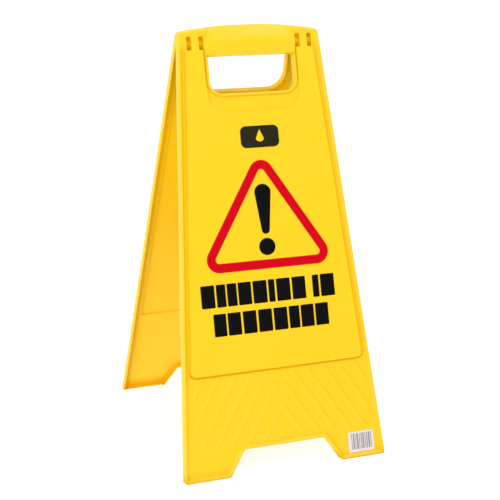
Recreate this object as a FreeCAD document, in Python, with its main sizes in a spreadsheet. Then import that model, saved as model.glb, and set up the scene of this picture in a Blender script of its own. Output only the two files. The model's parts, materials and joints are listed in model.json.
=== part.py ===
import FreeCAD, Part
import Sketcher
import math
import os

# Folding A-frame floor sign: two moulded panels with a carrying bar each,
# joined at the top by two hinge pins, with thin printed graphics and a label.
# World frame: X across the sign, Y front to back (front panel faces -Y), Z up,
# origin on the floor midway between the panels.
# Panel frame: X across, Y up along the panel, Z out of its outer face, which
# has its rim level at z = 0.

doc = FreeCAD.newDocument("floor_sign")
V = FreeCAD.Vector

# ------------------------------------------------------------ dimensions
# alias, value (mm unless noted), meaning
PARAMS = [
    ("lean", 16.2, "lean of each panel from vertical, deg"),
    ("foot_half", 150.9, "half width at the feet"),
    ("taper", 0.0765, "half width lost per mm of height"),
    ("corner_v", 615.68, "height of the top corners along the panel"),
    ("crown_v", 624.7, "height of the top edge at the centre"),
    ("crown_rad", 602.0, "radius of the crowned top edge"),
    ("depth", 11.75, "flange depth behind the outer plane"),
    ("axis_depth", 12.0, "hinge axis behind the outer plane"),
    ("axis_v", 601.0, "hinge axis height along the panel"),
    ("wall", 2.5, "moulded wall"),
    ("corner_fillet", 7.0, "fillet at the top corners"),
    ("notch_fillet", 7.0, "fillet at the top of the notch"),
    ("foot_fillet", 5.0, "fillet at the outer foot corners"),
    ("notch_foot_fillet", 3.5, "fillet at the inner foot corners"),
    ("rim_fillet", 3.0, "fillet round the outer face"),
    ("recess", 2.4, "field below the rim"),
    ("plateau", 0.5, "label plateau below the rim"),
    ("rim_side", 8.5, "rim bead width on the sides"),
    ("rim_foot", 5.5, "rim bead width round feet and notch"),
    ("rim_top", 9.0, "rim bead width along the crown"),
    ("notch_low", 84.0, "notch half width at the floor"),
    ("notch_high", 60.5, "notch half width at its top"),
    ("notch_v", 36.0, "notch height"),
    ("hole_half", 63.0, "hand opening half width"),
    ("hole_low", 530.2, "hand opening lower edge"),
    ("hole_high", 582.4, "carrying bar lower edge"),
    ("hole_rad", 17.0, "hand opening corner radius"),
    ("hole_low_rear", 527.5, "hand opening lower edge on the rear panel"),
    ("hole_rad_rear", 24.0, "hand opening corner radius on the rear panel"),
    ("lip_out", 3.6, "lip width round the hand opening"),
    ("lip_drop", 1.0, "lip below the rim"),
    ("lip_end", 3.0, "lip ends below the top corners"),
    ("band_half", 68.8, "inner edge of the plateau arms"),
    ("band_low", 503.0, "lower edge of the band under the opening"),
    ("band_rad", 25.0, "corner radius of that band"),
    ("arm_slope", 2.0, "inward lean of the arms' inner edge"),
    ("plate_low", 143.4, "lower edge of the label plateau"),
    ("plate_gap", 2.4, "valley between rim and plateau"),
    ("plate_rad", 7.0, "lower corner radius of the plateau"),
    ("plate_end", 2.0, "plateau arms end below the top corners"),
    ("back_round", 0.9, "share of the offset corner radius used behind the plateau"),
    ("bar_half", 64.2, "carrying bar half length"),
    ("bar_crest", 1.4, "bar crest outside the outer plane"),
    ("bar_edge", 4.0, "bar edge below the outer plane"),
    ("bar_wall", 2.5, "carrying bar wall"),
    ("bar_edge_wall", 0.4, "extra edge drop of the bar's hollow, per mm of wall"),
    ("eye_rad", 8.8, "hinge eye outer radius"),
    ("eye_root", 2.0, "root of the eye webs below the plateau"),
    ("bore_rad", 3.05, "hinge eye bore radius"),
    ("pin_rad", 3.0, "hinge pin radius"),
    ("pin_head", 4.6, "hinge pin head radius"),
    ("pin_from", 66.9, "inner end of the pin shank"),
    ("pin_to", 95.0, "outer end of the pin"),
    ("pin_cap", 1.3, "thickness of the pin head"),
    ("pin_chamfer", 0.6, "chamfer at the outer end of the pin"),
    ("head_chamfer", 0.3, "chamfer of the pin head"),
    ("eye_mid", 80.3, "centre of the hinge across"),
    ("eye_width", 10.0, "middle eye width"),
    ("ear_in", 71.2, "inner ear centre"),
    ("ear_out", 88.9, "outer ear centre"),
    ("ear_width", 6.3, "ear width"),
    ("window_width", 6.5, "hinge window width"),
    ("window_low", 591.3, "window lower edge"),
    ("window_high", 609.8, "window upper edge"),
    ("window_in", 71.2, "inner window centre"),
    ("window_out", 88.9, "outer window centre"),
    ("blind", 1.5, "depth of the blind windows on the rear panel"),
    ("rib_middle", 90.0, "height midway between the two lowest rib apexes"),
    ("rib_pitch", 23.5, "rib spacing across"),
    ("rib_slope", 1.62, "rib steepness"),
    ("rib_rise", 1.1, "rib height"),
    ("rib_wide", 12.5, "rib width across"),
    ("rib_low", 44.5, "rib lower end"),
    ("rib_high", 138.0, "rib upper end"),
    ("rib_gap", 4.0, "gap between ribs and rim bead"),
    ("stop_gap", 0.08, "clearance of each stop face from the mid plane"),
    ("stop_under", 2.0, "stop face starts below the hinge axis"),
    ("stop_reach", 40.0, "stop cut above the hinge axis"),
    ("stop_deep", 12.0, "stop cut behind the hinge axis"),
    ("sole_reach", 6.0, "sole cut below the panel origin"),
    ("film", 0.2, "print film thickness"),
    ("tri_half", 90.3, "warning triangle half width"),
    ("tri_low", 283.2, "warning triangle lower edge"),
    ("tri_high", 435.0, "warning triangle upper edge"),
    ("tri_rad", 18.0, "warning triangle corner radius"),
    ("tri_band", 12.6, "warning triangle band"),
    ("tri_mid", -1.0, "warning triangle centre across"),
    ("mark_mid", -1.5, "exclamation mark centre across"),
    ("stroke_low", 331.7, "exclamation stroke lower end"),
    ("stroke_low_rad", 5.9, "exclamation stroke lower radius"),
    ("stroke_high", 404.4, "exclamation stroke upper end"),
    ("stroke_high_rad", 12.2, "exclamation stroke upper radius"),
    ("dot_v", 313.8, "exclamation dot centre height"),
    ("dot_rad", 12.0, "exclamation dot radius"),
    ("caption_rad", 1.4, "caption block corner radius"),
    ("badge_mid", 1.8, "badge centre across"),
    ("badge_half", 28.4, "badge half width"),
    ("badge_low", 452.6, "badge lower edge"),
    ("badge_high", 483.0, "badge upper edge"),
    ("badge_rad", 8.0, "badge corner radius"),
    ("drop_half", 6.2, "half chord of the drop's round end"),
    ("drop_v", 465.0, "height of that chord"),
    ("drop_rad", 6.6, "radius of the drop's round end"),
    ("drop_tip", 478.5, "height of the drop's point"),
    ("label_left", 95.4, "sticker left edge"),
    ("label_right", 134.9, "sticker right edge"),
    ("label_low", 8.3, "sticker lower edge"),
    ("label_high", 37.4, "sticker upper edge"),
    ("label_thick", 0.25, "sticker thickness"),
    ("bars_left", 100.4, "left edge of the first printed bar"),
    ("bars_low", 12.2, "printed bars' lower edge"),
    ("bars_high", 34.8, "printed bars' upper edge"),
    ("ink", 0.1, "printed bar thickness"),
]

FIELD_TAPER = -25.0  # draft of the recessed field's sides, deg
ACROSS = 400.0       # length of a cut that spans the whole width
OVERCUT = 3.0        # how far some cuts run past the flange
OVERLAP = 0.01       # overlap between the two cuts in the back
RIB_COUNT = 8
RIB_REACH = 300.0    # rib arm length across before clipping
RIB_MIN_SIDE = 0.5   # shorter sides of a clipped rib are merged
RIB_MIN_AREA = 40.0  # smaller clipped ribs are left out

# Caption rows: (lower edge, upper edge), then (left, right) of each block.
CAPTION_ROWS = [
    ((236.2, 267.6),
     [(-104.3, -84.7), (-82.0, -68.7), (-66.4, -52.4), (-50.2, -31.0), (-28.4, -8.0),
      (-5.4, 3.8), (6.6, 27.1), (30.1, 50.3), (61.1, 70.6), (73.3, 94.3)]),
    ((196.0, 227.2),
     [(-89.3, -71.2), (-68.8, -49.6), (-46.4, -26.8), (-23.8, -3.6), (-0.8, 19.3),
      (22.0, 37.6), (40.0, 59.4), (62.0, 81.6)]),
]

# Barcode: (bar width, gap to the next bar), left to right.
BARCODE = [
    (1.1, 1.5), (1.9, 1.2), (1.0, 1.6), (2.2, 1.3), (1.1, 1.8), (1.5, 1.2),
    (2.1, 1.5), (1.0, 1.3), (1.6, 1.4), (2.3, 1.2), (1.1, 0.0),
]


class Dim:
    """A number that also knows its spreadsheet expression."""

    def __init__(self, value, text):
        self.value = float(value)
        self.text = text

    @staticmethod
    def of(x):
        if isinstance(x, Dim):
            return x
        return Dim(x, ("(%.6g)" if x < 0 else "%.6g") % x)

    def __add__(self, other):
        other = Dim.of(other)
        return Dim(self.value + other.value, "(%s + %s)" % (self.text, other.text))

    def __sub__(self, other):
        other = Dim.of(other)
        return Dim(self.value - other.value, "(%s - %s)" % (self.text, other.text))

    def __rsub__(self, other):
        return Dim.of(other) - self

    def __mul__(self, other):
        other = Dim.of(other)
        return Dim(self.value * other.value, "(%s * %s)" % (self.text, other.text))

    def __truediv__(self, other):
        other = Dim.of(other)
        return Dim(self.value / other.value, "(%s / %s)" % (self.text, other.text))

    def __neg__(self):
        return Dim(-self.value, "(-1 * %s)" % self.text)


def sine(angle):
    return Dim(math.sin(math.radians(angle.value)), "sin(%s)" % angle.text)


def cosine(angle):
    return Dim(math.cos(math.radians(angle.value)), "cos(%s)" % angle.text)


def tangent(angle):
    return Dim(math.tan(math.radians(angle.value)), "tan(%s)" % angle.text)


def root(dim):
    return Dim(math.sqrt(dim.value), "sqrt(%s)" % dim.text)


class Sizes:
    """The driving dimensions, one attribute per alias."""


size = Sizes()
sheet = doc.addObject("Spreadsheet::Sheet", "Params")
for row, (alias, number, note) in enumerate(PARAMS, start=1):
    sheet.set("A%d" % row, note)
    sheet.set("B%d" % row, "%.10g" % number)
    sheet.setAlias("B%d" % row, alias)
    setattr(size, alias, Dim(number, "Params." + alias))
doc.recompute()

# Relations shared by several pieces
panel_back = size.axis_v * sine(size.lean) + size.axis_depth * cosine(size.lean)
axis_z = size.axis_v * cosine(size.lean) - size.axis_depth * sine(size.lean)
lean_run = tangent(size.lean)
skin = size.recess + size.wall
plate_rise = size.recess - size.plateau
plate_inset = size.rim_side + size.plate_gap
plate_top = size.corner_v - size.plate_end
side_stretch = root(size.taper * size.taper + 1.0)
notch_run = (size.notch_low - size.notch_high) / size.notch_v
notch_stretch = root(notch_run * notch_run + 1.0)


# ------------------------------------------------------------ wires
# A wire is a list of (x, y[, radius]) vertices. A radius bulges the span to the
# next vertex: to the right of its direction if > 0, to the left if < 0.
def symmetric(chain):
    """Close a chain on one side of x = 0 with its mirror image."""
    wire = list(chain)
    for i in reversed(range(len(chain))):
        radius = chain[i - 1][2:] if i else ()
        wire.append((-Dim.of(chain[i][0]), chain[i][1]) + radius)
    return wire


def rectangle(left, low, right, high):
    return [(left, low), (right, low), (right, high), (left, high)]


def side_x(height, inset=0.0):
    """Half width at a height, inset square to the sloping side."""
    return size.foot_half - size.taper * height - Dim.of(inset) * side_stretch


def notch_x(height, inset):
    """Notch half width at a height, pushed outward by inset."""
    return size.notch_low - notch_run * height + Dim.of(inset) * notch_stretch


def crown_y(x, radius):
    """Height at x of an arc concentric with the crowned top edge."""
    return root(radius * radius - x * x) - (size.crown_rad - size.crown_v)


def lower_right(inset_side, inset_foot, inset_top):
    """Right-hand chain of notch, foot, side and top corner, inset as given."""
    low = Dim.of(inset_foot)
    corner = size.corner_v - inset_top
    notch_top = size.notch_v + inset_foot
    return [
        (notch_x(notch_top, inset_foot), notch_top),
        (notch_x(low, inset_foot), low),
        (side_x(low, inset_side), low),
        (side_x(corner, inset_side), corner, size.crown_rad - inset_top),
    ]


# ------------------------------------------------------------ features
serial = iter(range(1, 10000))


def fresh(stem):
    return "%s_%03d" % (stem, next(serial))


def new_body(label):
    body = doc.addObject("PartDesign::Body", label)
    body.Label = label
    return body


def origin_plane(body, role):
    return [part for part in body.Origin.OriginFeatures if part.Role == role][0]


def bind(target, prop, dim):
    dim = Dim.of(dim)
    setattr(target, prop, dim.value)
    target.setExpression(prop, dim.text)


def arc_between(start, end, radius):
    """Arc from start to end, anticlockwise if radius > 0, else clockwise."""
    (ax, ay), (bx, by) = start, end
    half = math.hypot(bx - ax, by - ay) / 2
    away = math.sqrt(max(radius * radius - half * half, 0.0))
    away = math.copysign(away, radius)
    cx = (ax + bx) / 2 - (by - ay) / (2 * half) * away
    cy = (ay + by) / 2 + (bx - ax) / (2 * half) * away
    first = math.atan2(ay - cy, ax - cx)
    last = math.atan2(by - cy, bx - cx)
    if radius < 0:
        first, last = last, first
    if last < first:
        last += 2 * math.pi
    return Part.ArcOfCircle(Part.Circle(V(cx, cy, 0), V(0, 0, 1), abs(radius)), first, last)


def sketch(body, stem, plane, offset, wires):
    """Fully constrained sketch of wires, or of ("circle", x, y, radius)."""
    drawing = body.newObject("Sketcher::SketchObject", fresh(stem))
    drawing.AttachmentSupport = [(origin_plane(body, plane), "")]
    drawing.MapMode = "FlatFace"
    if offset is not None:
        drawing.AttachmentOffset = FreeCAD.Placement(V(0, 0, offset.value), FreeCAD.Rotation())
        drawing.setExpression("AttachmentOffset.Base.z", offset.text)
    rules, texts = [], []

    def rule(constraint, text=""):
        if "Params" in text:
            texts.append((len(rules), text))
        rules.append(constraint)

    def fix_point(geo, end, x, y):
        for kind, axis, dim in (("DistanceX", -2, Dim.of(x)), ("DistanceY", -1, Dim.of(y))):
            if abs(dim.value) < 1e-9:
                rule(Sketcher.Constraint("PointOnObject", geo, end, axis))
            else:
                rule(Sketcher.Constraint(kind, -1, 1, geo, end, dim.value), dim.text)

    for wire in wires:
        if wire[0] == "circle":
            x, y, radius = [Dim.of(entry) for entry in wire[1:]]
            circle = Part.Circle(V(x.value, y.value, 0), V(0, 0, 1), radius.value)
            geo = drawing.addGeometry(circle)
            fix_point(geo, 3, x, y)
            rule(Sketcher.Constraint("Radius", geo, radius.value), radius.text)
            continue
        spans = []
        for here, there in zip(wire, wire[1:] + wire[:1]):
            start, end = [(Dim.of(p[0]).value, Dim.of(p[1]).value) for p in (here, there)]
            radius = Dim.of(here[2]) if len(here) > 2 else None
            if radius:
                shape = arc_between(start, end, radius.value)
            else:
                shape = Part.LineSegment(V(*start, 0), V(*end, 0))
            # a clockwise arc is stored the other way round, so its ends swap
            begin = 2 if radius and radius.value < 0 else 1
            spans.append((drawing.addGeometry(shape), begin, radius))
        for (geo, begin, _), (after, after_begin, _) in zip(spans, spans[1:] + spans[:1]):
            rule(Sketcher.Constraint("Coincident", geo, 3 - begin, after, after_begin))
        for vertex, (geo, begin, radius) in zip(wire, spans):
            fix_point(geo, begin, vertex[0], vertex[1])
            if radius:
                length = radius if radius.value > 0 else -radius
                rule(Sketcher.Constraint("Radius", geo, length.value), length.text)
    drawing.addConstraint(rules)
    for index, text in texts:
        drawing.setExpression("Constraints[%d]" % index, text)
    doc.recompute()
    return drawing


def volume(body):
    return body.Shape.Volume if body.Shape and not body.Shape.isNull() else 0.0


def require_change(body, before, feature):
    if abs(volume(body) - before) < 1e-6:
        raise RuntimeError("%s changed nothing" % feature.Name)


def extrude(kind, body, profile, length, reverse=False, both_ways=False, taper=0.0):
    before = volume(body)
    feature = body.newObject("PartDesign::" + kind, fresh(kind))
    feature.Profile = profile
    feature.Type = "Length"
    bind(feature, "Length", length)
    feature.Reversed = reverse
    if both_ways:
        feature.SideType = "Symmetric"
    if taper:
        feature.TaperAngle = taper
    doc.recompute()
    require_change(body, before, feature)
    return feature


def pad(*args, **options):
    return extrude("Pad", *args, **options)


def pocket(*args, **options):
    return extrude("Pocket", *args, **options)


def fillet(body, radius, pick):
    """Round the edges that pick(edge) accepts."""
    tip = body.Tip
    names = ["Edge%d" % i for i, edge in enumerate(tip.Shape.Edges, start=1) if pick(edge)]
    if not names:
        raise RuntimeError("no edges for the fillet")
    feature = body.newObject("PartDesign::Fillet", fresh("Fillet"))
    feature.Base = (tip, names)
    bind(feature, "Radius", radius)
    doc.recompute()
    if not feature.isValid() or feature.Shape.isNull() or not feature.Shape.isValid():
        raise RuntimeError("%s failed" % feature.Name)


def depth_edge_at(x, y, tolerance=0.6):
    """Picks the edges along Z at (x, y) and (-x, y)."""
    def pick(edge):
        if len(edge.Vertexes) != 2:
            return False
        a, b = [vertex.Point for vertex in edge.Vertexes]
        return (abs(a.x - b.x) < 1e-4 and abs(a.y - b.y) < 1e-4 and abs(a.z - b.z) > 1
                and abs(abs(a.x) - x.value) < tolerance and abs(a.y - y.value) < tolerance)
    return pick


def on_outer_plane(edge):
    middle = edge.valueAt((edge.FirstParameter + edge.LastParameter) / 2)
    return all(abs(point.z) < 1e-6 for point in [v.Point for v in edge.Vertexes] + [middle])


def rises(edge):
    return abs(edge.Vertexes[0].Point.z - edge.Vertexes[-1].Point.z) > 0.1


def place_on_panel(body, rear):
    rotation = FreeCAD.Rotation(V(1, 0, 0), 90.0 - size.lean.value)
    if rear:
        rotation = FreeCAD.Rotation(V(0, 0, 1), 180.0).multiply(rotation)
    y = panel_back if rear else -panel_back
    body.Placement = FreeCAD.Placement(V(0, y.value, 0), rotation)
    body.setExpression("Placement.Base.y", y.text)
    if not rear:
        body.setExpression("Placement.Rotation.Angle", "90 - Params.lean")
    doc.recompute()


# ------------------------------------------------------------ panels
def add_slab(body):
    """Slab behind the outer plane, rounded at its corners and rim."""
    outline = sketch(body, "outline", "XY_Plane", None, [symmetric(lower_right(0.0, 0.0, 0.0))])
    pad(body, outline, size.depth, reverse=True)
    for radius, x, y in (
            (size.corner_fillet, side_x(size.corner_v), size.corner_v),
            (size.notch_fillet, size.notch_high, size.notch_v),
            (size.foot_fillet, size.foot_half, Dim.of(0.0)),
            (size.notch_foot_fillet, size.notch_low, Dim.of(0.0))):
        fillet(body, radius, depth_edge_at(x, y))
    fillet(body, size.rim_fillet, on_outer_plane)


def cut_field(body):
    """Recessed field inside the rim."""
    wire = symmetric(lower_right(size.rim_side, size.rim_foot, size.rim_top))
    field = sketch(body, "field", "XY_Plane", None, [wire])
    pocket(body, field, size.recess, taper=FIELD_TAPER)


def add_plateau(body):
    """Label plateau with its two arms beside the hand opening."""
    low = size.plate_low
    corner = size.plate_rad
    arm = size.band_half - size.arm_slope
    wire = symmetric([
        (side_x(low, plate_inset) - corner, low, corner),
        (side_x(low + corner, plate_inset), low + corner),
        (side_x(plate_top, plate_inset), plate_top),
        (size.band_half, plate_top),
        (size.band_half, size.window_low),
        (arm, size.band_low + size.band_rad, -size.band_rad),
        (arm - size.band_rad, size.band_low),
    ])
    pad(body, sketch(body, "plateau", "XY_Plane", -size.recess, [wire]), plate_rise)


def clip(polygon, x_factor, y_factor, limit):
    """Keep the part where x_factor * x + y_factor * y <= limit."""
    def excess(point):
        return x_factor * point[0] + y_factor * point[1] - limit

    kept = []
    for here, there in zip(polygon, polygon[1:] + polygon[:1]):
        inside = excess(here) <= 1e-9
        if inside:
            kept.append(here)
        if inside != (excess(there) <= 1e-9):
            share = excess(here) / (excess(here) - excess(there))
            kept.append(tuple(a + (b - a) * share for a, b in zip(here, there)))
    return kept


def without_short_sides(polygon):
    kept = []
    for point in polygon:
        if not kept or math.dist(point, kept[-1]) > RIB_MIN_SIDE:
            kept.append(point)
    if len(kept) > 1 and math.dist(kept[0], kept[-1]) < RIB_MIN_SIDE:
        kept.pop()
    return kept


def polygon_area(polygon):
    pairs = zip(polygon, polygon[1:] + polygon[:1])
    return abs(sum(a[0] * b[1] - b[0] * a[1] for a, b in pairs)) / 2


def rib_wires():
    """Chevrons clipped to the space below the plateau."""
    slope, taper = size.rib_slope.value, size.taper.value
    half = slope * size.rib_wide.value / 2
    fall = slope * RIB_REACH
    side_inset = size.rim_side.value + size.rib_gap.value
    side_limit = size.foot_half.value - side_inset * math.sqrt(1 + taper * taper)
    wires = []
    for i in range(RIB_COUNT):
        apex = size.rib_middle.value + slope * size.rib_pitch.value * (i - 0.5)
        arm = [(0.0, apex - half), (0.0, apex + half),
               (RIB_REACH, apex + half - fall), (RIB_REACH, apex - half - fall)]
        arm = clip(arm, 0, -1, -size.rib_low.value)
        arm = clip(arm, 0, 1, size.rib_high.value)
        arm = clip(arm, 1.0, taper, side_limit)
        arm = without_short_sides(arm)
        if len(arm) < 3:
            continue
        if abs(arm[0][0]) < 1e-6:
            # the first two points lie on x = 0, so both arms join in one wire
            wires.append(arm[1:] + arm[:1] + [(-x, y) for x, y in reversed(arm[2:])])
        else:
            wires.append(arm)
            wires.append([(-x, y) for x, y in reversed(arm)])
    return [wire for wire in wires if polygon_area(wire) > RIB_MIN_AREA]


def add_ribs(body):
    pad(body, sketch(body, "ribs", "XY_Plane", -size.recess, rib_wires()), size.rib_rise)


def opening_wire(low, radius, outset, top):
    """Outline of the hand opening pushed outward by outset, up to a top height."""
    half = size.hole_half
    return symmetric([
        (-(half + outset), top),
        (-(half + outset), low + radius, radius + outset),
        (-(half - radius), low - outset),
    ])


def add_lip(body, hole_low, hole_rad):
    """Lip that frames the hand opening and runs up beside the bar."""
    wire = opening_wire(hole_low, hole_rad, size.lip_out, size.corner_v - size.lip_end)
    lip = sketch(body, "lip", "XY_Plane", -size.recess, [wire])
    pad(body, lip, size.recess - size.lip_drop)


def hollow_back(body, hole_low, hole_rad):
    """Hollow from behind, leaving a wall round the edge and the hand opening."""
    wall = size.wall
    half = size.hole_half + wall
    wire = symmetric(lower_right(wall, wall, wall) + [
        (half, crown_y(half, size.crown_rad - wall)),
        (half, hole_low + hole_rad, -(hole_rad + wall)),
        (size.hole_half - hole_rad, hole_low - wall),
    ])
    cavity = sketch(body, "cavity", "XY_Plane", -size.depth, [wire])
    pocket(body, cavity, size.depth - skin, reverse=True)


def thin_plateau(body):
    """Deepen the hollow behind the plateau to keep its skin thin."""
    wall = size.wall
    inset = plate_inset + wall
    low = size.plate_low + wall
    arm = size.band_half + wall
    radius = -(size.band_rad + wall) * size.back_round
    wire = symmetric([
        (side_x(low, inset), low),
        (side_x(plate_top, inset), plate_top),
        (arm, plate_top),
        (arm, size.band_low + size.band_rad - wall, radius),
        (arm - size.band_rad, size.band_low - wall),
    ])
    back = sketch(body, "plateau_back", "XY_Plane", -skin - OVERLAP, [wire])
    pocket(body, back, plate_rise + OVERLAP, reverse=True)


def cut_hand_opening(body, hole_low, hole_rad):
    """Hand opening, open at the top where the bar spans it."""
    wire = opening_wire(hole_low, hole_rad, 0.0, size.crown_v + 15.0)
    opening = sketch(body, "hand_opening", "XY_Plane", None, [wire])
    pocket(body, opening, size.depth + 10.0)


def bar_wire(top, shell, base):
    """Bar section with a crowned outer side, shrunk by shell."""
    low = size.hole_high + shell
    high = top - shell
    edge = -size.bar_edge - shell * size.bar_edge_wall
    rise = size.bar_crest - shell - edge
    chord = (high - low) / 2
    radius = (chord * chord + rise * rise) / (rise * 2.0)
    return [(low, base), (high, base), (high, edge, radius), (low, edge)]


def add_bar(body):
    """Carrying bar lofted across the opening, then hollowed by a second loft."""
    side_top = crown_y(size.bar_half, size.crown_rad)
    for kind, shell, base, reach in (
            ("AdditiveLoft", Dim.of(0.0), -size.depth, size.bar_half),
            ("SubtractiveLoft", size.bar_wall, -size.depth - OVERCUT, size.hole_half)):
        sections = [
            sketch(body, "bar", "YZ_Plane", place, [bar_wire(top, shell, base)])
            for place, top in ((-reach, side_top), (None, size.crown_v), (reach, side_top))]
        before = volume(body)
        loft = body.newObject("PartDesign::" + kind, fresh("BarLoft"))
        loft.Profile = sections[0]
        loft.Sections = sections[1:]
        loft.Ruled = False
        doc.recompute()
        require_change(body, before, loft)


def cut_stop(body):
    """Stop faces above the hinge axis, on the mid plane when the sign is open."""
    gap = size.stop_gap / cosine(size.lean)
    low = size.axis_v - size.stop_under
    high = size.axis_v + size.stop_reach
    back = -size.axis_depth - size.stop_deep
    wire = [
        (low, back),
        (high, back),
        (high, -size.axis_depth + size.stop_reach * lean_run + gap),
        (low, -size.axis_depth - size.stop_under * lean_run + gap),
    ]
    pocket(body, sketch(body, "stop", "YZ_Plane", None, [wire]), ACROSS, both_ways=True)


def cut_sole(body):
    """Soles cut level with the floor."""
    back = size.depth + OVERCUT
    wire = [
        (-size.sole_reach, -back),
        (back * lean_run, -back),
        (-size.sole_reach, size.sole_reach / lean_run),
    ]
    pocket(body, sketch(body, "sole", "YZ_Plane", None, [wire]), ACROSS, both_ways=True)


def cut_windows(body, rear):
    """Hinge windows: through the skin in front, blind at the rear."""
    wires = []
    half = size.window_width / 2
    for centre in (size.window_in, size.window_out):
        for middle in (centre, -centre):
            wires.append(rectangle(middle - half, size.window_low,
                                   middle + half, size.window_high))
    windows = sketch(body, "windows", "XY_Plane", None, wires)
    pocket(body, windows, size.plateau + size.blind if rear else skin + 1.0)


def add_eyes(body, rear):
    """Hinge eyes on webs from the skin to the axis, mirrored left and right."""
    if rear:
        eyes = [(size.ear_in, size.ear_width), (size.ear_out, size.ear_width)]
    else:
        eyes = [(size.eye_mid, size.eye_width)]
    low, high = size.axis_v - size.eye_rad, size.axis_v + size.eye_rad
    web_root = -(size.plateau + size.eye_root)
    # drawn a hair over half the chord so that the semicircle can be solved
    radius = size.eye_rad * 1.0000001
    web = [
        (high, -size.axis_depth),
        (high, web_root),
        (low, web_root),
        (low, -size.axis_depth, radius),
    ]
    bore = ("circle", size.axis_v, -size.axis_depth, size.bore_rad)
    made = []
    for centre, width in eyes:
        eye = sketch(body, "eye", "YZ_Plane", centre - width / 2, [web, bore])
        made.append(pad(body, eye, width))
    mirrored = body.newObject("PartDesign::Mirrored", fresh("Mirrored"))
    mirrored.Originals = made
    mirrored.MirrorPlane = (origin_plane(body, "YZ_Plane"), [""])
    body.Tip = mirrored
    doc.recompute()


def panel(label, rear):
    body = new_body(label)
    hole_low = size.hole_low_rear if rear else size.hole_low
    hole_rad = size.hole_rad_rear if rear else size.hole_rad
    add_slab(body)
    cut_field(body)
    add_plateau(body)
    add_ribs(body)
    add_lip(body, hole_low, hole_rad)
    hollow_back(body, hole_low, hole_rad)
    thin_plateau(body)
    cut_hand_opening(body, hole_low, hole_rad)
    add_bar(body)
    cut_stop(body)
    cut_sole(body)
    cut_windows(body, rear)
    add_eyes(body, rear)
    place_on_panel(body, rear)
    return body


# ------------------------------------------------------------ pins
def hinge_pin(label, left):
    """Headed pin along the hinge axis; the head sits inboard."""
    body = new_body(label)
    radius, head = size.pin_rad, size.pin_head
    neck, tip = size.pin_from, size.pin_to
    head_end = neck - size.pin_cap
    profile = [
        (head_end, 0.0),
        (head_end, head - size.head_chamfer),
        (head_end + size.head_chamfer, head),
        (neck, head),
        (neck, radius),
        (tip - size.pin_chamfer, radius),
        (tip, radius - size.pin_chamfer),
        (tip, 0.0),
    ]
    if left:
        profile = [(-x, y) for x, y in reversed(profile)]
    drawing = sketch(body, "pin", "XY_Plane", None, [profile])
    turned = body.newObject("PartDesign::Revolution", fresh("Revolution"))
    turned.Profile = drawing
    turned.ReferenceAxis = (drawing, ["H_Axis"])
    turned.Angle = 360.0
    doc.recompute()
    body.Placement = FreeCAD.Placement(V(0, 0, axis_z.value), FreeCAD.Rotation())
    body.setExpression("Placement.Base.z", axis_z.text)
    doc.recompute()
    return body


# ------------------------------------------------------------ prints
def film(label, rear, wires, level=-size.plateau, thickness=size.film, rounding=None):
    """Thin layer standing on a level of the panel's outer face."""
    body = new_body(label)
    pad(body, sketch(body, "print", "XY_Plane", level, wires), thickness)
    if rounding:
        fillet(body, rounding, rises)
    place_on_panel(body, rear)
    return body


def rounded_triangle(inset):
    """Outline of the warning triangle, inset all round."""
    mid = size.tri_mid
    radius = size.tri_rad - inset
    centre_x = size.tri_half - inset - radius
    low = size.tri_low + inset
    centre_low = low + radius
    centre_high = size.tri_high - inset - radius
    height = centre_high - centre_low
    length = root(centre_x * centre_x + height * height)
    out_x, out_y = radius * height / length, radius * centre_x / length
    return [
        (mid - centre_x, low),
        (mid + centre_x, low, radius),
        (mid + centre_x + out_x, centre_low + out_y),
        (mid + out_x, centre_high + out_y, radius),
        (mid - out_x, centre_high + out_y),
        (mid - centre_x - out_x, centre_low + out_y, radius),
    ]


def warning_triangle(label, rear):
    return film(label, rear, [rounded_triangle(0.0), rounded_triangle(size.tri_band)])


def exclamation_mark(label, rear):
    """Tapered upright stroke with round ends, over a dot."""
    x = size.mark_mid
    small, large = size.stroke_low_rad, size.stroke_high_rad
    low, high = size.stroke_low + small, size.stroke_high - large
    slant = (large - small) / (high - low)
    across = root(1.0 - slant * slant)
    stroke = [
        (x - across * small, low - slant * small, small),
        (x + across * small, low - slant * small),
        (x + across * large, high - slant * large, large),
        (x - across * large, high - slant * large),
    ]
    return film(label, rear, [stroke, ("circle", x, size.dot_v, size.dot_rad)])


def caption_blocks(label, rear):
    """Two rows of blocks, one for each letter."""
    blocks = [rectangle(left, low, right, high)
              for (low, high), spans in CAPTION_ROWS for left, right in spans]
    return film(label, rear, blocks, rounding=size.caption_rad)


def badge(label, rear):
    """Rounded rectangle with a drop-shaped opening."""
    mid, corner = size.badge_mid, size.badge_rad
    left, right = mid - size.badge_half, mid + size.badge_half
    low, high = size.badge_low, size.badge_high
    frame = [
        (left + corner, low), (right - corner, low, corner),
        (right, low + corner), (right, high - corner, corner),
        (right - corner, high), (left + corner, high, corner),
        (left, high - corner), (left, low + corner, corner),
    ]
    drop = [
        (mid - size.drop_half, size.drop_v, size.drop_rad),
        (mid + size.drop_half, size.drop_v),
        (mid, size.drop_tip),
    ]
    return film(label, rear, [frame, drop])


def barcode_sticker():
    outline = rectangle(size.label_left, size.label_low, size.label_right, size.label_high)
    return film("barcode_sticker", False, [outline],
                level=-size.recess, thickness=size.label_thick)


def barcode_bars():
    bars = []
    start = 0.0
    for width, gap in BARCODE:
        bars.append(rectangle(size.bars_left + start, size.bars_low,
                              size.bars_left + (start + width), size.bars_high))
        start += width + gap
    return film("barcode_bars", False, bars,
                level=-size.recess + size.label_thick, thickness=size.ink)


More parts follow.
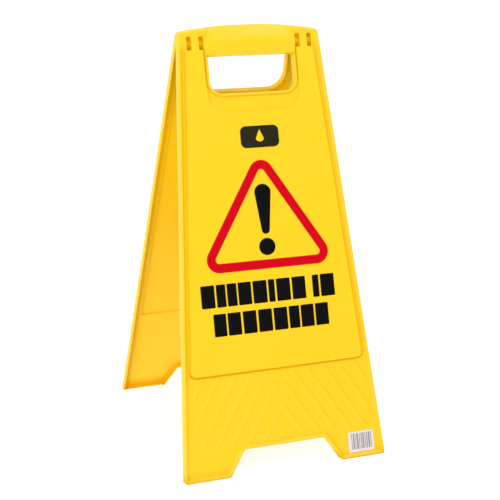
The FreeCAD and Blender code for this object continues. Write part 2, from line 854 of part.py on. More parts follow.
# ------------------------------------------------------------ assembly
nodes = [
    panel("front_panel", False),
    panel("rear_panel", True),
    hinge_pin("hinge_pin_right", False),
    hinge_pin("hinge_pin_left", True),
]
for side, rear in (("front", False), ("rear", True)):
    for graphic in (warning_triangle, exclamation_mark, caption_blocks, badge):
        nodes.append(graphic(side + "_" + graphic.__name__, rear))
nodes += [barcode_sticker(), barcode_bars()]

doc.recompute()
for item in doc.Objects:
    if "Invalid" in item.State or "Error" in item.State:
        raise RuntimeError("%s is %s" % (item.Name, item.State))
for node in nodes:
    if node.Shape.isNull() or not node.Shape.isValid():
        raise RuntimeError("%s has a bad shape" % node.Label)
os.makedirs("parts", exist_ok=True)
for node in nodes:
    node.Shape.exportStep("parts/%s.step" % node.Label)
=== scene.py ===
"""Folding floor sign: two moulded yellow panels hinged along X near the top.

The sign stands on z = 0 with the hinge axis over y = 0. The front panel faces -Y and the rear
panel is the same shape turned half round about Z. World sizes are in metres. Panel sizes are
in millimetres in the panel's own frame: u across, v up along the panel, w out of its outer face.
"""
import json
import math

import bpy
import numpy as np
from mathutils import Matrix, Vector


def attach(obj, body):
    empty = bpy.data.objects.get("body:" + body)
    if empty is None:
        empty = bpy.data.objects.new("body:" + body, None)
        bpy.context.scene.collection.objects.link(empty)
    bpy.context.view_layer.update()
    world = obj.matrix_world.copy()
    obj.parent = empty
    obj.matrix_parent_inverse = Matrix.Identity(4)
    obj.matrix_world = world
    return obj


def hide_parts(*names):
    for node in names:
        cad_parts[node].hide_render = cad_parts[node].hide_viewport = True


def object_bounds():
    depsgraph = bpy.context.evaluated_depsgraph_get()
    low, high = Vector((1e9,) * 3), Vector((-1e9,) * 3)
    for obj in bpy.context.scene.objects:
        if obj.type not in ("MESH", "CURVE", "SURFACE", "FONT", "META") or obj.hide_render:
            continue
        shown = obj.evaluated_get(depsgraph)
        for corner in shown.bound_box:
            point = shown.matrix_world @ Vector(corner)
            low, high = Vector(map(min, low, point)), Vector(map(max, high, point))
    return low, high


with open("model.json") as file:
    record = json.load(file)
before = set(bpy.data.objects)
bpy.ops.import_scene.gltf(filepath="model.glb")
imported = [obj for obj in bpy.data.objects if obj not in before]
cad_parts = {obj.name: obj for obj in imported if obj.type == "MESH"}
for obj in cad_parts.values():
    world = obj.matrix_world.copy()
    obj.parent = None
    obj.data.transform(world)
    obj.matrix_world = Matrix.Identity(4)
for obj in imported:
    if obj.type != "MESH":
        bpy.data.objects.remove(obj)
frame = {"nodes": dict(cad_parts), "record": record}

CAD_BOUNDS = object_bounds()
NODES = frame["nodes"]

# --------------------------------------------------------------------------
# panel dimensions, mm
# --------------------------------------------------------------------------
LEAN = math.radians(16.2)
AXIS_V, AXIS_DEPTH = 601.0, 12.0  # hinge axis: up the panel, and in from its outer face
SIN_LEAN, COS_LEAN = math.sin(LEAN), math.cos(LEAN)
FOOT_OFFSET = AXIS_V * SIN_LEAN + AXIS_DEPTH * COS_LEAN  # from the hinge plane to v = w = 0

FOOT_HALF, TAPER = 150.9, 0.0765  # half width at v = 0, and its loss per mm of v
CORNER_V, CORNER_RADIUS = 615.68, 7.0
CROWN_V, CROWN_RADIUS = 624.7, 602.0
NOTCH_FOOT_HALF, NOTCH_TOP_HALF, NOTCH_HEIGHT = 84.0, 60.5, 36.0

WINDOW_MIDS = (71.2, 88.9)  # distance of the hinge windows from the centre line
WINDOW_WIDTH, WINDOW_LOW, WINDOW_HIGH = 6.5, 591.3, 609.8

# carrying bar: v of its lower edge, w at its edges and at its crest
BAR_LOW, BAR_EDGE, BAR_CREST = 582.4, -4.0, 1.4

# label plateau: v of its lower and upper edges, and its inset from the sides
PLATEAU_LOW, PLATEAU_HIGH, PLATEAU_INSET = 143.4, 614.0, 10.9

# levels of the outer skin, w
VALLEY, PLATEAU_LEVEL, TOP_LEVEL, LIP_LEVEL = -2.4, -0.5, -0.32, -0.55
BLANK_LEVEL = -1.2  # flat skin before it is formed

# chevron ribs
RIB_SLOPE, RIB_PITCH, RIB_START, RIB_HEIGHT = 1.62, 23.5, 90.0, 1.0
RIB_BEND = 3.0  # rounding of the chevron's point

VOXEL = 0.00075  # m
SHELL_FACES = 185000


# --------------------------------------------------------------------------
# panel frame and curves
# --------------------------------------------------------------------------
def to_panel(points, rear):
    """World metres to panel millimetres."""
    turn = -1.0 if rear else 1.0
    x = points[:, 0] * 1000 * turn
    y = points[:, 1] * 1000 * turn + FOOT_OFFSET
    z = points[:, 2] * 1000
    return np.stack([x, y * SIN_LEAN + z * COS_LEAN, -y * COS_LEAN + z * SIN_LEAN], axis=1)


def to_world(points, rear):
    """Panel millimetres to world metres."""
    turn = -1.0 if rear else 1.0
    u, v, w = points.T
    y = -FOOT_OFFSET + v * SIN_LEAN - w * COS_LEAN
    z = v * COS_LEAN + w * SIN_LEAN
    return np.stack([u * turn, y * turn, z], axis=1) / 1000.0


def smooth(t):
    t = np.clip(t, 0.0, 1.0)
    return t * t * (3.0 - 2.0 * t)


def rise(value, start, over):
    """Smooth step from 0 at start to 1, spread over a length."""
    return smooth((value - start) / over)


def fall(value, end, over):
    """Smooth step down to 0 at end, spread over a length."""
    return smooth((end - value) / over)


def bell(value, centre, width):
    return np.exp(-((value - centre) / width) ** 2)


def blend(first, second, share):
    return first + (second - first) * share


def quarter_loss(distance, radius):
    """Depth lost at a distance inside an edge rounded to a radius."""
    distance = np.clip(distance, 0.0, radius)
    return radius - np.sqrt(np.maximum(radius * radius - (radius - distance) ** 2, 0.0))


def segments(outline, closed=True):
    return zip(outline, outline[1:] + outline[:1] if closed else outline[1:])


def line_distance(u, v, outline, closed=True):
    """Distance from points to a polyline."""
    best = np.full(u.shape, 1e9)
    for (au, av), (bu, bv) in segments(outline, closed):
        du, dv = bu - au, bv - av
        t = np.clip(((u - au) * du + (v - av) * dv) / (du * du + dv * dv + 1e-12), 0, 1)
        best = np.minimum(best, np.hypot(u - au - t * du, v - av - t * dv))
    return best


def is_inside(u, v, outline):
    """Even-odd test."""
    hit = np.zeros(u.shape, bool)
    for (au, av), (bu, bv) in segments(outline):
        if av == bv:
            continue
        crosses = (av > v) != (bv > v)
        hit ^= crosses & (u < au + (v - av) * (bu - au) / (bv - av))
    return hit


def depth_inside(u, v, outline):
    """Distance to a closed outline, positive inside it."""
    distance = line_distance(u, v, outline)
    return np.where(is_inside(u, v, outline), distance, -distance)


# --------------------------------------------------------------------------
# panel outlines
# --------------------------------------------------------------------------
def side_u(v, inset=0.0):
    """Half width of the panel at v, less an inset square to the side."""
    return FOOT_HALF - TAPER * v - inset * math.sqrt(TAPER * TAPER + 1)


def crown_v(u):
    return np.sqrt(CROWN_RADIUS ** 2 - u * u) - (CROWN_RADIUS - CROWN_V)


def rounded(corners, radii, steps=6):
    """Polygon with its corners rounded; a radius of 0 keeps a corner sharp."""
    outline = []
    for i, radius in enumerate(radii):
        corner = Vector(corners[i])
        if radius <= 0:
            outline.append(tuple(corner))
            continue
        to_last = (Vector(corners[i - 1]) - corner).normalized()
        to_next = (Vector(corners[(i + 1) % len(corners)]) - corner).normalized()
        half = to_last.angle(to_next) / 2
        cut = radius / math.tan(half)
        centre = corner + (to_last + to_next).normalized() * (radius / math.sin(half))
        start, end = corner + to_last * cut, corner + to_next * cut
        angle = math.atan2(start.y - centre.y, start.x - centre.x)
        end_angle = math.atan2(end.y - centre.y, end.x - centre.x)
        # take the short way round
        if end_angle - angle > math.pi:
            end_angle -= 2 * math.pi
        elif end_angle - angle < -math.pi:
            end_angle += 2 * math.pi
        for k in range(steps + 1):
            t = angle + (end_angle - angle) * k / steps
            outline.append((centre.x + radius * math.cos(t), centre.y + radius * math.sin(t)))
    return outline


def side_and_crown():
    """Open line up the +u side, over the crown and down the -u side."""
    below, straight, on_crown = -30.0, 300.0, 80.0
    corner = side_u(CORNER_V)
    radii = [0, CORNER_RADIUS, 0]
    up = rounded([(side_u(straight), straight), (corner, CORNER_V),
                  (on_crown, crown_v(on_crown))], radii)
    down = rounded([(-on_crown, crown_v(on_crown)), (-corner, CORNER_V),
                    (-side_u(straight), straight)], radii)
    crown = [(u, crown_v(u)) for u in np.linspace(95.0, -95.0, 25)]
    return ([(side_u(below), below)] + up[:-1] + crown[1:-1] + down[1:] +
            [(-side_u(below), below)])


def foot_line():
    """Open line along the feet and round the notch between them."""
    line = rounded(
        [(-120.0, 0.0), (-NOTCH_FOOT_HALF, 0.0), (-NOTCH_TOP_HALF, NOTCH_HEIGHT),
         (NOTCH_TOP_HALF, NOTCH_HEIGHT), (NOTCH_FOOT_HALF, 0.0), (120.0, 0.0)],
        [0, 3.5, 7.0, 7.0, 3.5, 0])
    return [(-190.0, 0.0)] + line + [(190.0, 0.0)]


def plateau_outline():
    """Label plateau, with a bay at the top for the hand opening."""
    low_u = side_u(PLATEAU_LOW, PLATEAU_INSET)
    high_u = side_u(PLATEAU_HIGH, PLATEAU_INSET)
    return rounded(
        [(-low_u, PLATEAU_LOW), (low_u, PLATEAU_LOW), (high_u, PLATEAU_HIGH),
         (69.2, PLATEAU_HIGH), (69.2, 591.0), (67.0, 503.0),
         (-67.0, 503.0), (-69.2, 591.0), (-69.2, PLATEAU_HIGH), (-high_u, PLATEAU_HIGH)],
        [8, 8, 3, 1, 1, 26, 26, 1, 1, 3])


def hand_opening(low, radius, half=63.0, high=700.0):
    """Hand opening, carried up past the crown; the bar closes it."""
    return rounded([(-half, low), (half, low), (half, high), (-half, high)],
                   [radius, radius, 0, 0], steps=12)


SIDE_LINE = side_and_crown()
FOOT_LINE = foot_line()
PLATEAU = plateau_outline()
OPENING = {False: hand_opening(low=530.2, radius=17.0),  # keyed by rear
           True: hand_opening(low=527.5, radius=24.0)}


# --------------------------------------------------------------------------
# outer skin
# --------------------------------------------------------------------------
def bar_arc(u, v):
    """Outer face of the carrying bar, a circular arc in section."""
    top = crown_v(u)
    mid, chord, height = (BAR_LOW + top) / 2, (top - BAR_LOW) / 2, BAR_CREST - BAR_EDGE
    radius = (chord * chord + height * height) / (2 * height)
    return (BAR_EDGE + height - radius +
            np.sqrt(np.maximum(radius * radius - (v - mid) ** 2, 0.0)))


def rib_relief(u, v, side, foot):
    """Chevron ribs, faded out towards the edges and the plateau."""
    phase = (v + RIB_SLOPE * np.sqrt(u * u + RIB_BEND ** 2) - RIB_START
             - RIB_SLOPE * RIB_BEND * 0.4) / (RIB_SLOPE * RIB_PITCH) - 0.02
    # half a rib in pitches: flat to 0.12 * 0.23, gone by 1.12 * 0.23
    rib = smooth(1.12 - np.abs(phase - np.round(phase)) / 0.23)
    mask = (rise(v, start=41.5, over=5.0) * fall(v, end=141.0, over=4.0) *
            rise(side, start=11.0, over=5.0) * rise(foot, start=6.5, over=4.0))
    return RIB_HEIGHT * rib * mask


def add_opening(height, floor, u, v, rear):
    """Lip round the hand opening, a groove outside it and a rounded inner edge."""
    gap = -depth_inside(u, v, OPENING[rear])
    below_top = v < 640.0
    lip = blend(floor, LIP_LEVEL, fall(gap, end=4.3, over=1.2))
    cleared = np.where(gap < 4.9, floor, height)
    height = np.where((gap < 6.4) & below_top,
                      np.maximum(cleared, np.minimum(lip, LIP_LEVEL)), height)
    groove = (bell(gap, centre=4.7, width=0.8) *
              (1.0 - rise(v, start=588.0, over=5.0)) * below_top)
    # the groove is twice as deep up the sides
    height = height - (0.5 + 0.5 * rise(v, start=545.0, over=20.0)) * groove
    edge = 2.0
    return height - np.where((gap < edge) & (v < BAR_LOW + 1.0), quarter_loss(gap, edge), 0.0)


def skin_height(u, v, rear):
    """w of the outer skin at (u, v)."""
    side = line_distance(u, v, SIDE_LINE, closed=False)
    foot = line_distance(u, v, FOOT_LINE, closed=False)
    # rim bead round a valley that is deeper beside the plateau and runs out at the top
    rim = np.maximum(fall(side, end=7.8, over=5.4), fall(foot, end=6.8, over=4.4))
    top = rise(v, start=586.0, over=17.0)
    valley = VALLEY - 0.8 * rise(v, start=128.0, over=16.0) * fall(side, end=14.0, over=3.0)
    floor = blend(valley, TOP_LEVEL, top)
    height = floor * (1.0 - rim)
    # label plateau, with a hairline sunk along its lower edge
    within = depth_inside(u, v, PLATEAU)
    flat = blend(PLATEAU_LEVEL, TOP_LEVEL, top)
    height = np.maximum(height, blend(floor, flat, rise(within, start=-0.9, over=1.8)))
    hairline = (bell(within, centre=-1.0, width=0.95) *
                fall(v, end=PLATEAU_LOW + 14.0, over=12.0) * rise(side, start=8.5, over=2.5))
    height = height - 1.5 * hairline
    height = height + rib_relief(u, v, side, foot) * (within < 0)
    height = add_opening(height, floor, u, v, rear)
    # carrying bar, run out into the crown at its ends
    across = np.abs(u)
    on_bar = (across < 66.0) & (v > BAR_LOW - 0.8)
    run_out = rise(across, start=47.0, over=17.5)
    crown = crown_v(u)
    upper = rise(v, start=(BAR_LOW + crown) / 2, over=(crown - BAR_LOW) / 2)
    arch = bar_arc(u, v)
    arch = arch + (BAR_CREST - arch) * 0.36 * upper  # fuller upper half
    flush = (TOP_LEVEL - quarter_loss(v - BAR_LOW, radius=6.0) * 0.62 *
             fall(across, end=66.0, over=2.0))
    height = np.where(on_bar, blend(arch, flush, run_out), height)
    # rounded outer edge, no deeper than 1.6
    loss = np.minimum(quarter_loss(np.minimum(side, foot), radius=2.6), 1.6)
    return height - np.where(on_bar, loss * run_out, loss)


# --------------------------------------------------------------------------
# moulded shells
# --------------------------------------------------------------------------
def smooth_mesh(points, edges, rounds, steps):
    """Laplacian smoothing; each round moves the points by every step in turn."""
    count = len(points)
    a, b = edges[:, 0], edges[:, 1]
    degree = np.bincount(a, minlength=count) + np.bincount(b, minlength=count)
    degree = np.maximum(degree, 1).astype(float)
    for step in steps * rounds:
        total = np.empty_like(points)
        for k in range(3):
            total[:, k] = (np.bincount(a, weights=points[b, k], minlength=count) +
                           np.bincount(b, weights=points[a, k], minlength=count))
        points = points + (total / degree[:, None] - points) * step
    return points


def get_points(mesh):
    points = np.empty(len(mesh.vertices) * 3, np.float32)
    mesh.vertices.foreach_get("co", points)
    return points.astype(np.float64).reshape(-1, 3)


def get_edges(mesh):
    edges = np.empty(len(mesh.edges) * 2, np.int32)
    mesh.edges.foreach_get("vertices", edges)
    return edges.reshape(-1, 2)


def put_points(mesh, points):
    mesh.vertices.foreach_set("co", points.astype(np.float32).ravel())
    mesh.update()


def link(name, data):
    ob = bpy.data.objects.new(name, data)
    bpy.context.scene.collection.objects.link(ob)
    return ob


def evaluated_mesh(ob):
    graph = bpy.context.evaluated_depsgraph_get()
    graph.update()
    return bpy.data.meshes.new_from_object(ob.evaluated_get(graph), depsgraph=graph)


def in_windows(u, v, margin):
    """Points within the hinge windows grown by a margin."""
    across = np.zeros(u.shape, bool)
    for mid in WINDOW_MIDS:
        across |= np.abs(np.abs(u) - mid) < WINDOW_WIDTH / 2 + margin
    return across & (v > WINDOW_LOW - margin) & (v < WINDOW_HIGH + margin)


def flatten_skin(points, rear):
    """Bring the outer skin, apart from the bar, to one level."""
    u, v, w = points.T
    bar = (np.abs(u) < 64.35) & (v > 582.0)
    outer = (w > -2.55) & ~bar
    if rear:
        # the rear windows are blind: keep their floors
        outer &= ~(in_windows(u, v, margin=0.1) & (w < -1.9))
    points[outer, 2] = BLANK_LEVEL


def form_skin(points, edges, rear):
    """Give the flat outer skin its forms and soften the walls."""
    u, v, w = points.T.copy()
    across = np.abs(u)
    high = v > BAR_LOW - 0.9
    span = (across < 62.9) & high
    ends = (across >= 62.9) & (across < 64.8) & high & (w > -1.6)
    # level of the unformed skin, and how far each vertex belongs to it
    level = np.full(u.shape, BLANK_LEVEL)
    level[span] = bar_arc(u[span], np.clip(v[span], BAR_LOW, None))
    level[ends] = w[ends]
    member = rise(w, start=level - 1.9, over=1.35)
    member[span] = rise(w[span], start=level[span] - 6.5, over=3.0)
    reach = member > 0.0
    if rear:
        reach &= ~(in_windows(u, v, margin=-0.3) & (w < -1.7))
    goal = skin_height(u[reach], v[reach], rear)
    points[reach, 2] = w[reach] + (goal - level[reach]) * member[reach]
    skin = reach & (np.abs(w - level) < 0.55)

    points = smooth_mesh(points, edges, rounds=5, steps=(0.5, -0.53))
    points = smooth_mesh(points, edges, rounds=1, steps=(0.35,))
    # draw the skin back to its designed height
    target = skin_height(points[skin, 0], points[skin, 1], rear)
    softened = points[skin, 2]
    pull = 0.95 * fall(np.abs(softened - target), end=0.95, over=0.5)
    points[skin, 2] = blend(softened, target, pull)
    return points


def square_windows(points):
    """Snap the walls of the hinge windows to straight lines."""
    snap, overrun = 0.62, 0.4
    half_u, half_v = WINDOW_WIDTH / 2, (WINDOW_HIGH - WINDOW_LOW) / 2
    mid_v = (WINDOW_LOW + WINDOW_HIGH) / 2
    wall = (points[:, 2] > -6.2) & (points[:, 2] < -0.75)
    for mid in WINDOW_MIDS:
        for mid_u in (-mid, mid):
            du, dv = points[:, 0] - mid_u, points[:, 1] - mid_v
            off_u, off_v = np.abs(du) - half_u, np.abs(dv) - half_v
            sides = wall & (np.abs(off_u) < snap) & (np.abs(dv) < half_v + overrun)
            ends = wall & (np.abs(off_v) < snap) & (np.abs(du) < half_u + overrun)
            points[sides, 0] = mid_u + np.sign(du[sides]) * half_u
            points[ends, 1] = mid_v + np.sign(dv[ends]) * half_v


def voxel_remesh(mesh, name):
    ob = link(name, mesh)
    voxel = ob.modifiers.new("voxel", "REMESH")
    voxel.mode = "VOXEL"
    voxel.voxel_size = VOXEL
    voxel.adaptivity = 0.0
    dense = evaluated_mesh(ob)
    bpy.data.objects.remove(ob)
    return dense


def moulded_shell(node, name, rear):
    """CAD panel remeshed, its outer skin given soft moulded forms, then thinned."""
    blank = NODES[node].data.copy()
    points = to_panel(get_points(blank), rear)
    flatten_skin(points, rear)
    put_points(blank, points / 1000.0)
    dense = voxel_remesh(blank, "tmp_" + name)

    points = form_skin(get_points(dense) * 1000.0, get_edges(dense), rear)
    square_windows(points)
    points[:, 1] = np.maximum(points[:, 1], 0.0)
    points = to_world(points, rear)
    for k in range(3):
        points[:, k] = np.clip(points[:, k], CAD_BOUNDS[0][k], CAD_BOUNDS[1][k])
    points[:, 2] = np.maximum(points[:, 2], 0.0)
    put_points(dense, points)

    shell = link(name, dense)
    thin = shell.modifiers.new("thin", "DECIMATE")
    thin.ratio = min(1.0, SHELL_FACES / (len(dense.polygons) * 2))
    final = evaluated_mesh(shell)
    shell.modifiers.clear()
    shell.data = final
    bpy.data.meshes.remove(dense)
    final.name = name
    final.polygons.foreach_set("use_smooth", [True] * len(final.polygons))
    final.update()
    final.materials.clear()
    return shell


# --------------------------------------------------------------------------
# shader nodes
# --------------------------------------------------------------------------
def feed(node, inputs):
    """Link each input that is given a socket and set the others."""
    for key, value in inputs.items():
        if isinstance(value, bpy.types.NodeSocket):
            node.id_data.links.new(value, node.inputs[key])
        else:
            node.inputs[key].default_value = value


class Shader:
    """Short ways to add nodes to a tree; most return the new node's output socket."""

    def __init__(self, tree):
        self.tree = tree

    def node(self, kind, inputs=None, **props):
        node = self.tree.nodes.new(kind)
        for key, value in props.items():
            setattr(node, key, value)
        feed(node, inputs or {})
        return node

    def coords(self, output="Object"):
        return self.node("ShaderNodeTexCoord").outputs[output]

    def noise(self, vector, scale, detail=2.0, rough=0.5, stretch=None):
        if stretch:
            vector = self.node("ShaderNodeMapping",
                               {"Vector": vector, "Scale": stretch}).outputs["Vector"]
        return self.node("ShaderNodeTexNoise", {"Vector": vector, "Scale": scale,
                         "Detail": detail, "Roughness": rough}).outputs["Fac"]

    def ramp(self, fac, stops):
        node = self.node("ShaderNodeValToRGB", {"Fac": fac})
        elements = node.color_ramp.elements
        while len(elements) > 1:
            elements.remove(elements[-1])
        elements[0].position, elements[0].color = stops[0]
        for position, color in stops[1:]:
            elements.new(position).color = color
        return node.outputs["Color"]

    def mask(self, fac, low, high, ends=(0.0, 1.0)):
        """Grey ramp between two positions."""
        return self.ramp(fac, [(place, (grey, grey, grey, 1.0))
                               for place, grey in zip((low, high), ends)])

    def math(self, operation, a, b, clamp=False):
        return self.node("ShaderNodeMath", {0: a, 1: b},
                         operation=operation, use_clamp=clamp).outputs[0]

    def times(self, a, b, clamp=False):
        return self.math("MULTIPLY", a, b, clamp)

    def plus(self, a, b):
        return self.math("ADD", a, b)

    def mix(self, a, b, fac, strength=None):
        """Colour a turned towards b by fac, scaled by a strength if given."""
        if strength is not None:
            fac = self.times(fac, strength)
        return self.node("ShaderNodeMix", {0: fac, 6: a, 7: b}, data_type="RGBA").outputs[2]

    def occlusion(self, distance):
        return self.node("ShaderNodeAmbientOcclusion", {"Distance": distance},
                         samples=6).outputs["AO"]

    def bump(self, height, strength, distance, under=None, invert=False):
        inputs = {"Strength": strength, "Distance": distance, "Height": height}
        if under:
            inputs["Normal"] = under
        return self.node("ShaderNodeBump", inputs, invert=invert).outputs["Normal"]


def new_material(name):
    """Material with only an output and a Principled node."""
    mat = bpy.data.materials.new(name)
    mat.use_nodes = True
    mat.node_tree.nodes.clear()
    sh = Shader(mat.node_tree)
    output = sh.node("ShaderNodeOutputMaterial")
    bsdf = sh.node("ShaderNodeBsdfPrincipled")
    feed(output, {"Surface": bsdf.outputs["BSDF"]})
    return mat, sh, bsdf


# --------------------------------------------------------------------------
# materials
# --------------------------------------------------------------------------
def yellow_plastic(name, base, deep, subsurface):
    """Moulded plastic with flow marks and scuffed feet, plus painted light: a painted highlight
    on the arrises, painted shade in the hollows and under the tent, and a painted glow in tight
    hollows.
    """
    mat, sh, bsdf = new_material(name)
    (br, bg, bb), (dr, dg, db) = base, deep
    co = sh.coords()
    # pigment drift and flow marks
    drift = sh.noise(co, scale=7.0, detail=3.0)
    flow = sh.noise(co, scale=26.0, detail=4.0, stretch=(1.0, 1.0, 0.35))
    color = sh.mix((*base, 1), (*deep, 1), drift, strength=0.55)
    color = sh.mix(color, (dr * 0.96, dg * 0.93, db, 1), flow, strength=0.10)
    # scuffs on the lowest 30 mm
    z = sh.node("ShaderNodeSeparateXYZ", {"Vector": co}).outputs["Z"]
    low = sh.times(sh.math("SUBTRACT", 0.030, z), 33.0, clamp=True)
    scuff = sh.mask(sh.noise(co, scale=180.0, detail=6.0, rough=0.7), low=0.50, high=0.66)
    worn = sh.times(low, scuff)
    color = sh.mix(color, (0.55, 0.42, 0.10, 1), worn, strength=0.30)
    # painted highlight: paler, whiter colour along convex arrises
    pointed = sh.node("ShaderNodeNewGeometry").outputs["Pointiness"]
    edge = sh.mask(pointed, low=0.515, high=0.60)
    color = sh.mix(color, (br * 1.03, bg * 1.12, bb + 0.05, 1), edge, strength=0.18)
    # painted shade: darker, more orange colour in crevices, from occlusion near and wide
    near, wide = sh.occlusion(distance=0.005), sh.occlusion(distance=0.020)
    shade = sh.math("MAXIMUM",
                    sh.times(sh.mask(near, low=0.45, high=0.94, ends=(1.0, 0.0)), 0.85),
                    sh.times(sh.mask(wide, low=0.52, high=0.98, ends=(1.0, 0.0)), 0.80))
    color = sh.mix(color, (dr * 0.76, dg * 0.56, 0.0, 1), shade)
    # painted shade: deeper colour under the tent of the two panels, faded in from 60 mm above
    # the floor
    tent = sh.mask(sh.occlusion(distance=0.26), low=0.30, high=0.85, ends=(1.0, 0.0))
    tent = sh.times(tent, sh.times(sh.math("SUBTRACT", z, 0.06), 4.2, clamp=True))
    color = sh.mix(color, (dr * 0.90, dg * 1.06, 0.0, 1), tent, strength=0.80)
    # painted light: an orange glow emitted in tight hollows, standing in for light carried
    # through the wall
    pit = sh.mask(wide, low=0.06, high=0.30, ends=(1.0, 0.0))
    feed(bsdf, {"Base Color": color, "Emission Color": (0.62, 0.27, 0.0, 1),
                "Emission Strength": sh.times(pit, 0.42)})
    # shaded parts lose their shine
    dull = sh.math("MAXIMUM", sh.times(shade, 2.2, clamp=True), sh.times(tent, 0.95))
    # fine scratches along Z and along X
    scratch_z = sh.noise(co, scale=900.0, stretch=(1.0, 1.0, 0.03))
    scratch_x = sh.noise(co, scale=700.0, stretch=(0.04, 1.0, 1.0))
    scratch = sh.math("MAXIMUM", sh.mask(scratch_z, low=0.70, high=0.78),
                      sh.mask(scratch_x, low=0.71, high=0.79))
    # roughness: base and mottling, then scratches, then scuffs
    rough = sh.plus(0.34, sh.times(sh.noise(co, scale=60.0, detail=4.0), 0.12))
    rough = sh.plus(rough, sh.times(scratch, 0.08))
    rough = sh.plus(rough, sh.times(worn, 0.25))
    # relief: grain, waviness, scratches
    grain = sh.noise(co, scale=1600.0, rough=0.6)
    wave = sh.noise(co, scale=32.0)
    normal = sh.bump(grain, strength=0.10, distance=0.00025)
    normal = sh.bump(wave, strength=0.12, distance=0.0012, under=normal)
    normal = sh.bump(scratch, strength=0.12, distance=0.0001, under=normal, invert=True)

    def where_shiny(amount):
        return sh.times(amount, sh.math("SUBTRACT", 1.0, dull, clamp=True))

    feed(bsdf, {"Roughness": rough, "Normal": normal, "IOR": 1.49,
                "Specular IOR Level": where_shiny(0.36),
                "Subsurface Weight": subsurface,
                "Subsurface Radius": (1.0, 0.55, 0.08),
                "Subsurface Scale": 0.006,
                "Coat Weight": where_shiny(0.05),
                "Coat Roughness": 0.25})
    return mat


def ink(name, base, other, rough):
    """Screen print: opaque ink with faint squeegee lines and pinholes of thin ink."""
    mat, sh, bsdf = new_material(name)
    base, other = (*base, 1), (*other, 1)
    co = sh.coords()
    cloud = sh.noise(co, scale=40.0, detail=3.0)
    screen = sh.noise(co, scale=1400.0, stretch=(1.0, 1.0, 0.25))
    color = sh.mix(base, other, cloud, strength=0.6)
    color = sh.mix(color, other, sh.mask(screen, low=0.60, high=0.75), strength=0.20)
    mottle = sh.times(sh.noise(co, scale=120.0, detail=3.0), 0.15)
    feed(bsdf, {"Base Color": color, "Roughness": sh.plus(rough, mottle),
                "Normal": sh.bump(screen, strength=0.10, distance=0.0001),
                "Coat Roughness": 0.3, "IOR": 1.48, "Specular IOR Level": 0.06})
    return mat


def paper(name):
    """Off-white sticker paper with fine fibres."""
    mat, sh, bsdf = new_material(name)
    co = sh.coords()
    fibre = sh.noise(co, scale=900.0, detail=5.0, rough=0.7)
    tone = sh.noise(co, scale=60.0)
    color = sh.mix((0.74, 0.70, 0.69, 1), (0.68, 0.645, 0.635, 1), tone, strength=0.5)
    color = sh.mix(color, (0.52, 0.50, 0.48, 1), fibre, strength=0.12)
    feed(bsdf, {"Base Color": color, "Roughness": sh.plus(0.42, sh.times(tone, 0.15)),
                "Normal": sh.bump(fibre, strength=0.15, distance=0.0001)})
    return mat


def floor_white(name):
    """Nearly even white that glows a little."""
    mat, sh, bsdf = new_material(name)
    color = (0.45, 0.45, 0.455)
    tone = sh.noise(sh.coords(), scale=3.0)
    darker = tuple(c * 0.985 for c in color)
    feed(bsdf, {"Base Color": sh.mix((*color, 1), (*darker, 1), tone),
                "Roughness": 0.6, "Specular IOR Level": 0.2,
                "Emission Color": (0.985, 0.99, 1.0, 1), "Emission Strength": 0.72})
    return mat


SLOT_MATERIALS = {
    "yellow_plastic": yellow_plastic("yellow_polypropylene", base=(0.91, 0.59, 0.010),
                                     deep=(0.88, 0.535, 0.005), subsurface=0.16),
    "pin_plastic": yellow_plastic("pin_nylon", base=(0.90, 0.56, 0.016),
                                  deep=(0.82, 0.47, 0.012), subsurface=0.05),
    "red_print": ink("red_ink", base=(0.60, 0.0005, 0.009),
                     other=(0.54, 0.0004, 0.008), rough=0.42),
    "black_print": ink("black_ink", base=(0.0025, 0.0025, 0.0025),
                       other=(0.006, 0.0055, 0.005), rough=0.42),
    "badge_print": ink("badge_ink", base=(0.016, 0.0155, 0.006),
                       other=(0.024, 0.023, 0.009), rough=0.45),
    "sticker_paper": paper("sticker_paper"),
    "grey_print": ink("bar_ink", base=(0.25, 0.22, 0.24),
                      other=(0.32, 0.29, 0.31), rough=0.5),
}
for part in frame["record"]["subparts"]:
    for slot in NODES[part["node"]].material_slots:
        slot.link = "OBJECT"
        slot.material = SLOT_MATERIALS[part["material_slot"]]

for body, rear in (("front", False), ("rear", True)):
    node = body + "_panel"
    shell = moulded_shell(node, body + "_shell", rear)
    shell.data.materials.append(SLOT_MATERIALS["yellow_plastic"])
    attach(shell, body)
    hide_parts(node)


# --------------------------------------------------------------------------
# studio, metres
# --------------------------------------------------------------------------
def sweep_floor():
    """Flat floor that curves up into a backdrop, turned about Z towards the camera."""
    front, bend, radius, top, half_width = -6.0, 3.2, 1.4, 5.0, 7.0
    drop = 0.0004  # keeps the floor just under the feet
    steps = 16
    profile = [(front, 0.0), (bend, 0.0)]
    for i in range(1, steps + 1):
        a = math.radians(90 * i / steps)
        profile.append((bend + radius * math.sin(a), radius - radius * math.cos(a)))
    profile.append((bend + radius, top))
    turn = math.radians(-19.95)
    cos, sin = math.cos(turn), math.sin(turn)
    verts = [(x * cos - y * sin, x * sin + y * cos, z - drop)
             for x in (-half_width, half_width) for y, z in profile]
    n = len(profile)
    mesh = bpy.data.meshes.new("floor")
    mesh.from_pydata(verts, [], [(i, i + n, i + n + 1, i + 1) for i in range(n - 1)])
    mesh.polygons.foreach_set("use_smooth", [True] * len(mesh.polygons))
    floor = link("floor", mesh)
    mesh.materials.append(floor_white("floor_white"))


def area_light(name, place, aim, size, power):
    lamp = bpy.data.lights.new(name, "AREA")
    lamp.energy = power
    lamp.shape = "SQUARE"
    lamp.size = size
    ob = link(name, lamp)
    ob.location = place
    ob.rotation_euler = (Vector(aim) - Vector(place)).to_track_quat("-Z", "Y").to_euler()


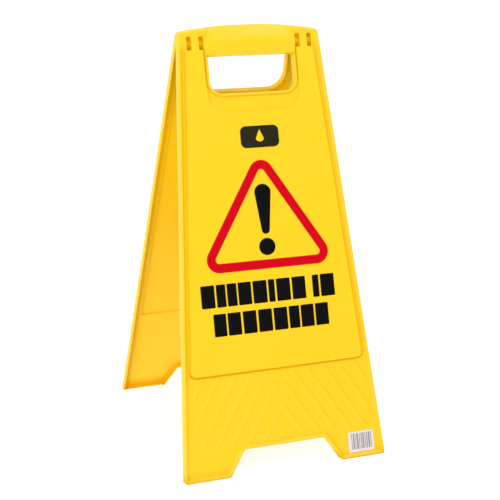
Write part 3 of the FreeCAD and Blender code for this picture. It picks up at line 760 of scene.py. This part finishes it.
def studio_world():
    """White room, brighter above and towards -X, darker towards +X."""
    world = bpy.data.worlds.new("studio")
    bpy.context.scene.world = world
    world.use_nodes = True
    sh = Shader(world.node_tree)
    bright_side = (-0.75, 0.0, 0.66)
    dot = sh.node("ShaderNodeVectorMath", {0: sh.coords("Generated"), 1: bright_side},
                  operation="DOT_PRODUCT").outputs["Value"]
    fac = sh.plus(sh.times(dot, 0.5), 0.5)  # -1..1 to 0..1
    color = sh.ramp(fac, [(0.0, (0.08, 0.08, 0.085, 1)), (0.5, (0.15, 0.15, 0.155, 1)),
                          (0.72, (0.48, 0.485, 0.50, 1)), (1.0, (0.85, 0.86, 0.88, 1))])
    feed(world.node_tree.nodes["Background"], {"Color": color, "Strength": 1.0})


def add_camera():
    """Camera to the front left (-X, -Y), looking down on the sign."""
    yaw, pitch, roll = math.radians(19.946), math.radians(-16.357), math.radians(0.313)
    forward = Vector((math.sin(yaw) * math.cos(pitch), math.cos(yaw) * math.cos(pitch),
                      math.sin(pitch)))
    right = Vector((math.cos(yaw), -math.sin(yaw), 0.0))
    up = right.cross(forward)
    rolled_right = right * math.cos(roll) + up * math.sin(roll)
    rolled_up = -right * math.sin(roll) + up * math.cos(roll)
    pose = Matrix((rolled_right, rolled_up, -forward)).transposed().to_4x4()
    pose.translation = (-0.56343, -1.56875, 0.75979)
    data = bpy.data.cameras.new("camera")
    data.sensor_fit = "HORIZONTAL"
    data.sensor_width = 36.0
    data.lens = 84.79368
    data.clip_end = 50
    camera = link("camera", data)
    camera.matrix_world = pose
    bpy.context.scene.camera = camera


sweep_floor()
# name, place, aim, size (m), power (W)
for light in (("key", (2.05, -1.63, 3.05), (0, 0, 0.30), 1.1, 62),
              ("left", (-2.3, -1.7, 1.0), (0, 0, 0.3), 1.2, 28),
              ("top", (-0.2, -0.3, 3.2), (0, 0, 0.2), 1.6, 14),
              ("front", (-1.2, -2.7, 1.9), (0, 0, 0.3), 1.6, 8),
              ("back", (0.2, 2.6, 2.4), (0, 0.2, 0.3), 2.0, 10)):
    area_light(*light)
studio_world()
add_camera()

view = bpy.context.scene.view_settings
view.view_transform = "Standard"
view.look = "None"
view.exposure = 0.0
view.gamma = 1.0

bpy.context.view_layer.update()
